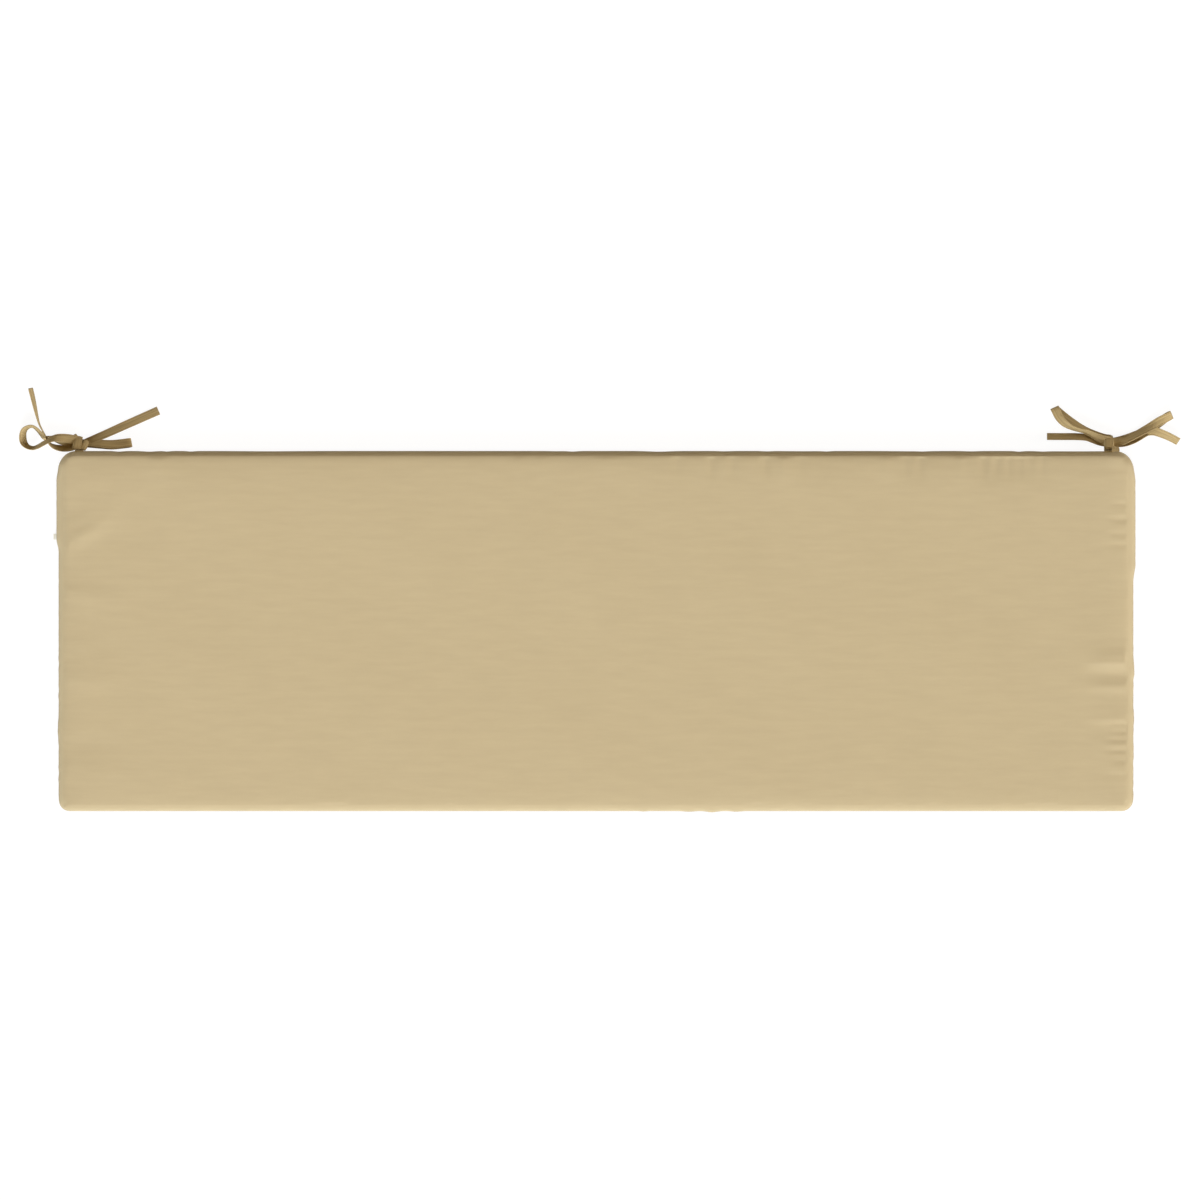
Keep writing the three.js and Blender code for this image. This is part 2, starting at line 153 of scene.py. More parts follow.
def surfaceOf(tree, inputs):
    # the material's surface is one Principled shader
    shader = addNode(tree, "ShaderNodeBsdfPrincipled", inputs)
    addNode(tree, "ShaderNodeOutputMaterial", {"Surface": shader.outputs[0]})


def newMaterial(name):
    # an empty material, and its tree of nodes
    material = bpy.data.materials.new(name)
    material.use_nodes = True
    material.node_tree.nodes.clear()
    return material, material.node_tree


# The camera first: straight above, through a long lens, as the photograph was taken.
cameraValues = {"lens": 1000, "sensor": 36, "frameWidth": 1672, "x": 6.0, "y": 42.6, "level": 27}


def makeCamera(v):
    # the lens's distance is what makes the frame frameWidth wide at the given level
    data = bpy.data.cameras.new("camera")
    data.lens = v["lens"]
    data.sensor_width = v["sensor"]
    away = v["frameWidth"] * v["lens"] / v["sensor"]
    camera = bpy.data.objects.new("camera", data)
    camera.location = (v["x"] * mm, v["y"] * mm, (v["level"] + away) * mm)
    data.clip_start, data.clip_end = 1, 200
    bpy.context.scene.collection.objects.link(camera)
    bpy.context.scene.camera = camera


makeCamera(cameraValues)

# The cushion's cloth. Colours are what the thread is, before the light.
clothValues = {
    "thread": "aa9d7f",
    "slubContrast": 0.025,
    "slubLength": 60,
    "slubWidth": 9,
    "slubRange": (0.25, 0.75),
    "slubHeight": 0.6,
    "threadSpacing": 1.0,
    "threadHeight": 0.07,
    "roughness": 0.82,
    "sheen": 0.12,
    "sheenTint": "f2e6cf",
}


def wovenPolyester(v):
    # Plain woven polyester: a matt face with a faint sheen at grazing angles, and slightly uneven
    # weft threads that leave short faint streaks along the cushion's length.
    material, tree = newMaterial("woven polyester")
    flat = addNode(tree, "ShaderNodeUVMap", uv_map="cloth").outputs[0]
    streak = (metre / v["slubLength"], metre / v["slubWidth"], 1)
    stretched = addNode(tree, "ShaderNodeMapping", {"Vector": flat, "Scale": streak})
    slub = addNode(
        tree,
        "ShaderNodeTexNoise",
        {"Vector": stretched.outputs[0], "Scale": 1.0, "Detail": 3.0, "Roughness": 0.6},
        noise_dimensions="2D",
    ).outputs[0]
    spread = shareOf(tree, slub, *v["slubRange"])
    dark, light = (toLinear(v["thread"], 1 + s * v["slubContrast"]) for s in (-1, 1))
    colour = mixColours(tree, spread, dark, light)

    # Plain weave: one set of threads shows in every other square of the board, the other set in
    # the rest. The real threads are 0.3 mm apart, too fine to show, so they are drawn coarser.
    pitch = metre / v["threadSpacing"]
    scaled = addNode(tree, "ShaderNodeMapping", {"Vector": flat, "Scale": (pitch, pitch, 1)})
    across = addNode(tree, "ShaderNodeSeparateXYZ", {0: scaled.outputs[0]})
    ribs = []
    for axis in (0, 1):
        turn = maths(tree, "MULTIPLY", across.outputs[axis], math.pi)
        ribs.append(maths(tree, "ABSOLUTE", maths(tree, "SINE", turn)))
    board = addNode(tree, "ShaderNodeTexChecker", {"Vector": scaled.outputs[0], "Scale": 1.0})
    weave = addNode(
        tree, "ShaderNodeMix", {0: board.outputs[1], 2: ribs[0], 3: ribs[1]}, data_type="FLOAT"
    ).outputs[0]
    height = maths(tree, "MULTIPLY_ADD", slub, v["slubHeight"], weave)
    bump = addNode(
        tree,
        "ShaderNodeBump",
        {"Height": height, "Strength": 0.5, "Distance": v["threadHeight"] * mm},
    ).outputs[0]
    surfaceOf(
        tree,
        {
            "Base Color": colour,
            "Roughness": v["roughness"],
            "Specular IOR Level": 0.25,
            "Sheen Weight": v["sheen"],
            "Sheen Roughness": 0.5,
            "Sheen Tint": toLinear(v["sheenTint"]),
            "Normal": bump,
        },
    )
    return material


# The ties' tape is the same cloth folded in and stitched along both edges. Its colour is set darker
# than the cushion's cloth: painted shade for the shade the ties lie in. What hangs under
# pressLevel in a knot is pressed up, to the share press of its way down.
tapeValues = {
    "width": 12.5,
    "thickness": 1.05,
    "pressLevel": 2,
    "press": 0.45,
    # darker than the cushion's thread: painted shade
    "cloth": "9a8861",
    "streakContrast": 0.16,
    "thread": "816d49",
    "streakLength": 45,
    "streakWidth": 1.8,
    "streakRange": (0.3, 0.7),
    "streakHeight": 6.0,
    "stitchInset": 1.7,
    "stitchPitch": 3.2,
    "stitchSide": (0.45, 0.15),
    "stitchRange": (-0.7, -0.3),
    "stitchHeight": -3.0,
    "ribPitch": 0.9,
    "ribHeight": 0.05,
    "roughness": 0.8,
    "sheen": 0.12,
    "sheenTint": "f2e6cf",
}


def stitchedTape(v):
    # Folded and stitched polyester tape: matt, with lengthwise thread lines and a row of stitches
    # just inside each edge.
    material, tree = newMaterial("stitched polyester tape")
    flat = addNode(tree, "ShaderNodeUVMap", uv_map="cloth").outputs[0]
    streak = (metre / v["streakWidth"], metre / v["streakLength"], 1)
    stretched = addNode(tree, "ShaderNodeMapping", {"Vector": flat, "Scale": streak})
    lines = addNode(
        tree,
        "ShaderNodeTexNoise",
        {"Vector": stretched.outputs[0], "Scale": 1.0, "Detail": 2.0},
        noise_dimensions="2D",
    ).outputs[0]
    spread = shareOf(tree, lines, *v["streakRange"])
    # painted shade: the tape's colour is darker than the same cloth on the cushion
    dark, light = (toLinear(v["cloth"], 1 + s * v["streakContrast"]) for s in (-1, 1))
    colour = mixColours(tree, spread, dark, light)

    place = addNode(tree, "ShaderNodeSeparateXYZ", {0: flat})
    side = maths(tree, "ABSOLUTE", place.outputs[0])
    line = (v["width"] / 2 - v["stitchInset"]) * mm
    off = maths(tree, "ABSOLUTE", maths(tree, "SUBTRACT", side, line))
    farSide, nearSide = v["stitchSide"]
    nearLine = shareOf(tree, off, farSide * mm, nearSide * mm)
    turns = maths(tree, "MULTIPLY", place.outputs[1], 2 * math.pi * metre / v["stitchPitch"])
    dash = shareOf(tree, maths(tree, "SINE", turns), *v["stitchRange"])
    stitch = maths(tree, "MULTIPLY", nearLine, dash)
    sewn = mixColours(tree, stitch, colour, toLinear(v["thread"]))

    ribTurns = maths(tree, "MULTIPLY", place.outputs[0], 2 * math.pi * metre / v["ribPitch"])
    ribs = maths(tree, "SINE", ribTurns)
    fold = maths(tree, "MULTIPLY_ADD", lines, v["streakHeight"], ribs)
    height = maths(tree, "MULTIPLY_ADD", nearLine, v["stitchHeight"], fold)
    bump = addNode(
        tree,
        "ShaderNodeBump",
        {"Height": height, "Strength": 0.6, "Distance": v["ribHeight"] * mm},
    ).outputs[0]
    surfaceOf(
        tree,
        {
            "Base Color": sewn,
            "Roughness": v["roughness"],
            "Specular IOR Level": 0.25,
            "Sheen Weight": v["sheen"],
            "Sheen Roughness": 0.5,
            "Sheen Tint": toLinear(v["sheenTint"]),
            "Normal": bump,
        },
    )
    return material


satinValues = {"white": "eceee8", "shadow": "dfe2dc", "threadPitch": 0.7, "threadHeight": 0.03}


def whiteSatin(v):
    # White satin ribbon: smooth long threads that catch a soft highlight across them.
    material, tree = newMaterial("white satin ribbon")
    flat = addNode(tree, "ShaderNodeUVMap", uv_map="cloth").outputs[0]
    place = addNode(tree, "ShaderNodeSeparateXYZ", {0: flat})
    turns = maths(tree, "MULTIPLY", place.outputs[1], 2 * math.pi * metre / v["threadPitch"])
    wave = maths(tree, "SINE", turns)
    share = shareOf(tree, wave, -1.0, 1.0)
    # painted shade: the colour falls to the shadow colour in the groove between each two threads
    colour = mixColours(tree, share, toLinear(v["shadow"]), toLinear(v["white"]))
    bump = addNode(
        tree,
        "ShaderNodeBump",
        {"Height": wave, "Strength": 0.4, "Distance": v["threadHeight"] * mm},
    ).outputs[0]
    surfaceOf(
        tree,
        {"Base Color": colour, "Roughness": 0.45, "Sheen Weight": 0.1, "Normal": bump},
    )
    return material


cushionCloth = wovenPolyester(clothValues)
tieCloth = stitchedTape(tapeValues)
tabCloth = whiteSatin(satinValues)
print("materials made")

# The cushion: two panels joined by a side strip that bulges between its two seams.
cushionValues = {
    "halfLength": 742,
    "halfWidth": 243,
    "topRadius": 18,
    "lowRadius": 9,
    "backSeam": 3,
    "backFlat": 14,
    "crownLevel": 30.8,
    "endRise": 2.6,
    "topRise": 1.8,
    "lowRise": 0.5,
    "edgeReach": 6.5,
    "slowRise": 1.5,
    "slowReach": 60,
    "puckerStart": (-8, 4),
    "puckerEnd": (0.4, 1.2),
    "puckerInset": 4,
    "puckerFade": (90, 120),
    "endBulge": 6.5,
    "longBulge": 7.3,
    "rightExtra": 0.8,
    "lowExtra": 1.3,
    "widest": 64.4,
    "topPower": 2.7,
    "lowPower": 10.0,
    "endPower": 3.8,
    "stepOut": 3,
    "leftStep": (110, 128),
    "rightStep": (68, 93),
    "stepEnd": (208, 234),
    "gather": 0.22,
    "gatherWaves": (2.3, 3.7, 17),
    "gatherShift": 1.7,
    "gatherDrift": 300,
    "gatherLoss": 0.7,
    "gatherEnd": (-60, 30),
    "seamDepth": 0.08,
    "seamReach": 1.6,
    "stripRows": 16,
    "stripCloth": 29,
    "lengthSpans": [(-738, 1.4), (-730, 2.7), (730, 4.0), (738, 2.7), (742, 1.4)],
    "widthSpans": [(-239, 1.4), (-231, 2.7), (231, 2.75), (239, 2.7), (243, 1.4)],
    "backInsets": [2, 5, 9, 14],
}

# The cloth simulation that fills the front panel, on a coarser grid.
fillingValues = {
    "lengthSpans": [(742, 14)],
    "widthSpans": [(243, 12)],
    "stripRows": 3,
    "slack": 0.5,
    "slackReach": 12,
    "pinned": 1,
    "hold": 0.34,
    "holdWander": 0.2,
    "holdWaves": (57, 41, 83),
    "holdShift": 1.3,
    "pressure": 4,
    "frames": 20,
    "mostSwell": 2.0,
}

# Swells of the strip past its usual bulge: x, y, spread, out.
stripSwells = np.array([
    [-742, -138, 12, 1.3], [742, -55, 14, 1.4], [742, -124, 12, 1.0], [742, -166, 9, 0.6],
    [67, -243, 5, 0.6], [130, -243, 9, 0.9], [162, -243, 9, 1.7], [196, -243, 8, 0.9],
    [-664, 243, 7, -0.9], [-622, 243, 11, -0.9], [-597, 243, 5, -0.8], [-564, 243, 6, -0.8],
    [-454, 243, 50, -0.4], [-32, 243, 8, -0.8], [-55, 243, 12, -0.3], [88, 243, 20, -0.9],
    [180, 243, 10, -0.4], [239, 243, 8, -0.5], [290, 243, 30, -0.3], [322, 243, 6, -0.6],
    [441, 243, 35, -0.4], [456, 243, 7, -0.4], [523, 243, 12, -0.5], [590, 243, 6, -0.9],
    [623, 243, 9, -0.5], [670, 243, 60, -0.5],
])

# Puckers of the front panel: x, y, plan direction, reach, width, depth. Ridges are negative.
# The rows down to [710, -242, 90, 34, 6, -0.2], all but [16, 242, -90, 34, 18, -0.5], were made by
# a program that fitted them to the photo's brightness, and were then deepened by about half. That
# row and those after them were placed one by one.
puckers = np.array([
    [740, -190, 180, 60, 6, -0.15], [740, -140, 180, 60, 11, 0.7], [740, -130, 180, 60, 6, 0.4],
    [740, -125, 180, 60, 6, -0.35], [740, -105, 180, 60, 11, 0.4], [740, -90, 180, 60, 11, 0.6],
    [740, -80, 180, 60, 6, -0.4], [740, -75, 180, 60, 6, -0.4], [740, -65, 180, 60, 11, 0.75],
    [740, -60, 180, 60, 6, 0.4], [740, -45, 180, 60, 6, -1.3], [740, -35, 180, 60, 6, -0.5],
    [740, -35, 180, 60, 11, -0.75], [740, 55, 180, 60, 11, 0.25], [740, 135, 180, 60, 6, -0.25],
    [740, 225, 180, 60, 6, 0.4], [-740, -200, 0, 60, 8, 0.6], [-740, -200, 0, 90, 12, -0.75],
    [-740, -160, 0, 90, 12, 0.6], [-740, -70, 0, 90, 12, -0.7], [-740, -55, 0, 90, 12, -0.3],
    [-740, -25, 0, 60, 8, -0.6], [-740, -20, 0, 90, 12, 0.6], [-740, -15, 0, 60, 8, -0.6],
    [-740, 45, 0, 90, 12, -0.5], [-740, 55, 0, 60, 8, -0.5], [-740, 125, 0, 60, 8, -0.7],
    [-740, 125, 0, 90, 12, 0.6], [-740, 135, 0, 60, 8, -0.6], [-740, 155, 0, 90, 12, -0.3],
    [-740, 180, 0, 90, 12, -0.45], [-740, 185, 0, 60, 8, 0.4], [-740, 195, 0, 60, 8, 0.4],
    [-740, 195, 0, 90, 12, -0.9], [-740, 215, 0, 90, 12, -0.5], [-742, 106, 35, 110, 9, -0.5],
    [-742, 118, 35, 110, 9, -0.8], [-742, 142, 28, 110, 9, -0.4], [-616, 242, -90, 34, 6, -0.8],
    [-604, 242, -90, 34, 6, -0.8], [-106, 242, -90, 34, 6, -0.6], [-76, 242, -90, 34, 6, -0.75],
    [16, 242, -90, 34, 18, -0.5], [-382, -242, 90, 16, 4.5, -0.4],
    [-370, -242, 90, 16, 4.5, -0.45], [-358, -242, 90, 16, 4.5, -0.4],
    [-352, -242, 90, 16, 4.5, -0.45], [-202, -242, 90, 16, 4.5, -0.45],
    [-22, -242, 90, 34, 6, -0.15], [212, -242, 90, 34, 6, -0.3], [224, -242, 90, 34, 6, -0.45],
    [230, -242, 90, 16, 4.5, -0.4], [272, -242, 90, 34, 6, -0.3], [296, -242, 90, 34, 6, -0.3],
    [368, -242, 90, 34, 6, 0.4], [422, -242, 90, 16, 4.5, -0.5], [470, -242, 90, 34, 6, -0.45],
    [572, -242, 90, 16, 4.5, -0.5], [608, -242, 90, 34, 6, -0.4], [626, -242, 90, 34, 6, -0.4],
    [638, -242, 90, 34, 6, -0.4], [680, -242, 90, 34, 6, 0.4], [710, -242, 90, 16, 4.5, 0.45],
    [710, -242, 90, 34, 6, -0.2], [740, 176, 180, 24, 4, 0.6], [740, 155, 180, 26, 4, 0.85],
    [740, 135, 180, 30, 4, 0.75], [740, 119, 180, 30, 4, 0.6], [740, -130, 180, 26, 4, 0.5],
    [740, -141, 180, 24, 4, 0.8], [740, -152, 180, 30, 4, 0.85], [740, -167, 180, 32, 4, 0.85],
    [740, -181, 180, 22, 4, 0.55], [740, -202, 180, 36, 4, 0.5], [113, 242, -90, 34, 5.5, 1.02],
    [161, 242, -90, 34, 5.5, 1.27], [190, 242, -90, 34, 5.5, 1.15], [236, 242, -90, 34, 5.5, 1.27],
    [262, 242, -90, 34, 5.5, -0.89], [286, 242, -90, 34, 5.5, 0.89],
    [405, 242, -90, 34, 5.5, -0.77], [432, 242, -90, 34, 5.5, 1.02],
    [452, 242, -90, 34, 5.5, 1.27], [508, 242, -90, 34, 5.5, -0.89], [540, 242, -90, 34, 5.5, 1.4],
    [559, 242, -90, 34, 5.5, 1.4], [576, 242, -90, 34, 5.5, 1.53], [590, 242, -90, 34, 5.5, 1.53],
    [604, 242, -90, 34, 5.5, 1.15], [622, 242, -90, 34, 5.5, 1.02],
])


def roundedSpots(v, x, y):
    # Rounds the corners of every ring of the rectangle. Near a corner, the distance along the
    # ring becomes an angle on an arc whose radius shrinks with the inset.
    toEnd, toSide = v["halfLength"] - np.abs(x), v["halfWidth"] - np.abs(y)
    inset = np.minimum(toEnd, toSide)
    radius = np.maximum(np.where(y > 0, v["topRadius"], v["lowRadius"]) - inset, 1e-9)
    lean = np.clip((toEnd - toSide) / radius, -1, 1) * math.pi / 4 + math.pi / 4
    cornerX, cornerY = v["halfLength"] - inset - radius, v["halfWidth"] - inset - radius
    inCorner = np.abs(toEnd - toSide) < radius
    roundX = np.where(inCorner, cornerX + radius * np.cos(lean), np.abs(x))
    roundY = np.where(inCorner, cornerY + radius * np.sin(lean), np.abs(y))
    return roundX * np.sign(x), roundY * np.sign(y), inset, np.cos(lean), np.sin(lean)


def ringOf(grid):
    # the border of a grid, counter-clockwise from its low left corner
    return np.concatenate([grid[0, :-1], grid[:-1, -1], grid[-1, :0:-1], grid[:0:-1, 0]])


def bulgeAt(v, x, y, nx, ny):
    # How far the strip stands out past the seams: one bulge for the ends and one for the long
    # edges, a little extra on the right and the low side, a step in the upper part of each end,
    # and a bell-shaped swell at each listed place. Small gathers, the most in the lower half of
    # each end, are two short waves times a slow one.
    ends = v["endBulge"] + np.where(nx > 0, v["rightExtra"], 0)
    sides = v["longBulge"] + np.where(ny < 0, v["lowExtra"], 0)
    bulge = ends * nx**2 + sides * ny**2
    rise = np.where(x < 0, smoothStep(y, *v["leftStep"]), smoothStep(y, *v["rightStep"]))
    bulge = bulge + v["stepOut"] * rise * (1 - smoothStep(y, *v["stepEnd"])) * nx**2
    first, second, slow = v["gatherWaves"]
    gathers = np.sin(y / first) + np.sin(y / second + v["gatherShift"] * np.sign(x))
    gathers = gathers * np.sin(y / slow + x / v["gatherDrift"])
    fewer = 1 - v["gatherLoss"] * smoothStep(y, *v["gatherEnd"])
    bulge = bulge + v["gather"] * gathers * nx**2 * fewer
    sx, sy, spread, out = stripSwells.T
    squared = ((x[:, None] - sx) ** 2 + (y[:, None] - sy) ** 2) / spread**2
    return bulge + (out * np.exp(-squared)).sum(1)


def puckerDepth(v, x, y, inset):
    # each pucker is a bell across its line, which fades in at the seam and out along its reach
    nearEnd, farEnd = v["puckerEnd"]
    depth = np.zeros_like(x)
    for px, py, az, reach, width, most in puckers:
        turn = math.radians(az)
        along = (x - px) * math.cos(turn) + (y - py) * math.sin(turn)
        across = (y - py) * math.cos(turn) - (x - px) * math.sin(turn)
        fade = smoothStep(along, *v["puckerStart"])
        fade = fade * (1 - smoothStep(along, nearEnd * reach, farEnd * reach))
        depth += most * fade * np.exp(-((across / width) ** 2))
    inside = smoothStep(inset, 0, v["puckerInset"])
    return depth * inside * (1 - smoothStep(inset, *v["puckerFade"]))


def crownAt(v, x, y):
    # The front's level: it falls off beside each seam as exp(-distance / edgeReach), the most at
    # the ends, and the fourth-power sum joins two sides at a corner. A slow rise of
    # (1 - exp(-distance / slowReach)) from the end times the same from the side adds the crown.
    toEnd, toSide = v["halfLength"] - np.abs(x), v["halfWidth"] - np.abs(y)
    end = v["endRise"] * np.exp(-toEnd / v["edgeReach"])
    side = np.where(y > 0, v["topRise"], v["lowRise"]) * np.exp(-toSide / v["edgeReach"])
    slow = (1 - np.exp(-toEnd / v["slowReach"])) * (1 - np.exp(-toSide / v["slowReach"]))
    return v["crownLevel"] - (end**4 + side**4) ** 0.25 + v["slowRise"] * slow


def cushionForm(v, xs, ys, rows):
    # The front is a grid of xs by ys. Its border, times rows, gives the strip: its bulge is 1 less
    # a power of the height from its middle, and the power changes from side to side. Then the
    # back's outer rings sink to the floor as a square.
    gridX, gridY = np.meshgrid(xs, ys)
    x, y, inset, _, _ = roundedSpots(v, gridX, gridY)
    front = crownAt(v, gridX, gridY)
    ringX, ringY = ringOf(gridX), ringOf(gridY)
    back = []
    for step in [0, *v["backInsets"]]:
        shrunkX = ringX * (1 - step / v["halfLength"])
        shrunkY = ringY * (1 - step / v["halfWidth"])
        level = v["backSeam"] * (1 - step / v["backFlat"]) ** 2
        bx, by, _, _, _ = roundedSpots(v, shrunkX, shrunkY)
        back.append(np.stack([bx, by, np.full_like(bx, level)], -1))
    rx, ry, _, nx, ny = roundedSpots(v, ringX, ringY)
    nx, ny = nx * np.sign(ringX), ny * np.sign(ringY)
    widest = math.radians(v["widest"])
    angle = np.linspace(widest, -widest, rows + 1)[1:-1, None]
    fall = np.sin(angle) / math.sin(widest)
    sidePower = np.where(ny > 0, v["topPower"], v["lowPower"])
    power = v["endPower"] * nx**2 + sidePower * ny**2
    out = (1 - np.abs(fall) ** power) * bulgeAt(v, rx, ry, nx, ny)
    seam = ringOf(front)
    middle, half = (seam + v["backSeam"]) / 2, (seam - v["backSeam"]) / 2
    level = middle + half * fall
    strip = np.stack([rx + nx * out, ry + ny * out, level], -1)
    return {
        "front": np.stack([x, y, front], -1),
        "strip": strip,
        "back": np.array(back),
        "inset": inset,
        "gridX": gridX,
        "gridY": gridY,
    }


def cushionMesh(v, form):
    # vertex numbers for the front, the strip and the back's rings, all as quads, and the flat
    # middle of the back as a cap
    rows, columns = form["gridX"].shape
    front = numbered(rows, columns)
    around = ringOf(front)
    below = [around]
    start = rows * columns
    for part in ("strip", "back"):
        count = form[part].shape[0]
        below += list(numbered(count, len(around), start))
        start += count * len(around)
    below = np.array(below)
    closed = wrapped(below)
    points = np.concatenate([form[k].reshape(-1, 3) for k in ("front", "strip", "back")])
    ring = points[closed[0]]
    reached = np.concatenate([[0], np.cumsum(np.linalg.norm(np.diff(ring, axis=0), axis=1))])
    seamRow = 1 + form["strip"].shape[0]
    down = np.linspace(0, v["stripCloth"], seamRow + 1)
    stripFlat = np.stack(np.meshgrid(reached, down), -1)
    backFlat = points[closed[seamRow:], :2]
    patches = [
        patchFaces(front, np.stack([form["gridX"], form["gridY"]], -1), flip=True),
        patchFaces(closed[: seamRow + 1], stripFlat),
        patchFaces(closed[seamRow:], backFlat),
    ]
    return points, patches, below[-1][::-1]


def cubicAt(values, places, spots):
    # reads evenly placed rows at any spots: a Catmull-Rom cubic through the four nearest rows
    at = np.clip((spots - places[0]) / (places[1] - places[0]), 0, len(places) - 1.001)
    cell = at.astype(int)
    t = (at - cell)[:, None]
    a, b, c, d = (values[np.clip(cell + k, 0, len(places) - 1)] for k in (-1, 0, 1, 2))
    return b + t / 2 * (c - a + t * (2 * a - 5 * b + 4 * c - d + t * (3 * (b - c) + d - a)))


def fillCushion(v, f):
    # Blender's cloth, pinned at the seams, swells from a slightly lower shape. The foam holds
    # the front loosely and unevenly, as a product of two long waves. The result is how far each
    # point of the coarse grid ends above or below the plain crown.
    xs = stations(-v["halfLength"], f["lengthSpans"])
    ys = stations(-v["halfWidth"], f["widthSpans"])
    form = cushionForm(v, xs, ys, f["stripRows"])
    plain = form["front"][..., 2].copy()
    form["front"][..., 2] -= f["slack"] * (1 - np.exp(-form["inset"] / f["slackReach"]))
    points, patches, cap = cushionMesh(v, form)
    draft = makePiece("draft", points, patches, None, cap)
    first, second, third = f["holdWaves"]
    wave = np.sin(form["gridX"] / first + form["gridY"] / second)
    wave = wave * np.sin(form["gridX"] / third - f["holdShift"])
    hold = f["hold"] * (1 + f["holdWander"] * wave)
    held = np.ones(len(points))
    held[: plain.size] = np.where(form["inset"] > f["pinned"], hold, 1).ravel().round(3)
    group = draft.vertex_groups.new(name="held")
    for weight in np.unique(held):
        group.add(np.flatnonzero(held == weight).tolist(), float(weight), "REPLACE")
    cloth = draft.modifiers.new("cloth", "CLOTH")
    settings = {
        "quality": 4,
        "mass": 0.3,
        "tension_stiffness": 20,
        "compression_stiffness": 20,
        "shear_stiffness": 8,
        "bending_stiffness": 0.5,
        "vertex_group_mass": "held",
        "use_pressure": True,
        "uniform_pressure_force": f["pressure"],
    }
    for name, value in settings.items():
        setattr(cloth.settings, name, value)
    cloth.settings.effector_weights.gravity = 0
    cloth.collision_settings.use_collision = False
    cloth.point_cache.frame_start, cloth.point_cache.frame_end = 1, f["frames"]
    for frameNumber in range(1, f["frames"] + 1):
        bpy.context.scene.frame_set(frameNumber)
    settled = draft.evaluated_get(bpy.context.evaluated_depsgraph_get())
    moved = np.empty(3 * len(points), np.float32)
    settled.data.vertices.foreach_get("co", moved)
    bpy.context.scene.frame_set(1)
    bpy.data.objects.remove(draft)
    level = moved.reshape(-1, 3)[: plain.size, 2].reshape(plain.shape) / mm
    swell = np.clip(level - plain, -f["mostSwell"], f["mostSwell"])
    print("front filled, mm past the plain crown:", swell.min().round(2), swell.max().round(2))
    return xs, ys, swell


def makeCushion(v):
    # the crowned, filled and puckered front, the strip and the back, as one closed mesh
    xs = stations(-v["halfLength"], v["lengthSpans"])
    ys = stations(-v["halfWidth"], v["widthSpans"])
    form = cushionForm(v, xs, ys, v["stripRows"])
    front = form["front"]
    coarseX, coarseY, swell = fillCushion(v, fillingValues)
    front[..., 2] += cubicAt(cubicAt(swell, coarseY, ys).T, coarseX, xs).T
    front[..., 2] -= puckerDepth(v, front[..., 0], front[..., 1], form["inset"])
    # the stitches draw each seam in
    front[..., 2] -= v["seamDepth"] * np.exp(-((form["inset"] / v["seamReach"]) ** 2))
    points, patches, cap = cushionMesh(v, form)
    piece = makePiece("cushionCover", points, patches, cushionCloth, cap)
    # the seam is a crisp line between the front and the strip
    onSeam = np.zeros(len(points), bool)
    onSeam[ringOf(numbered(*form["gridX"].shape))] = True
    edges = np.empty(2 * len(piece.data.edges), np.int32)
    piece.data.edges.foreach_get("vertices", edges)
    sharp = piece.data.attributes.new("sharp_edge", "BOOLEAN", "EDGE")
    sharp.data.foreach_set("value", onSeam[edges.reshape(-1, 2)].all(1))
    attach(piece, "root")
    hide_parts("cushion")
    print("cushion made:", len(points), "points")


makeCushion(cushionValues)
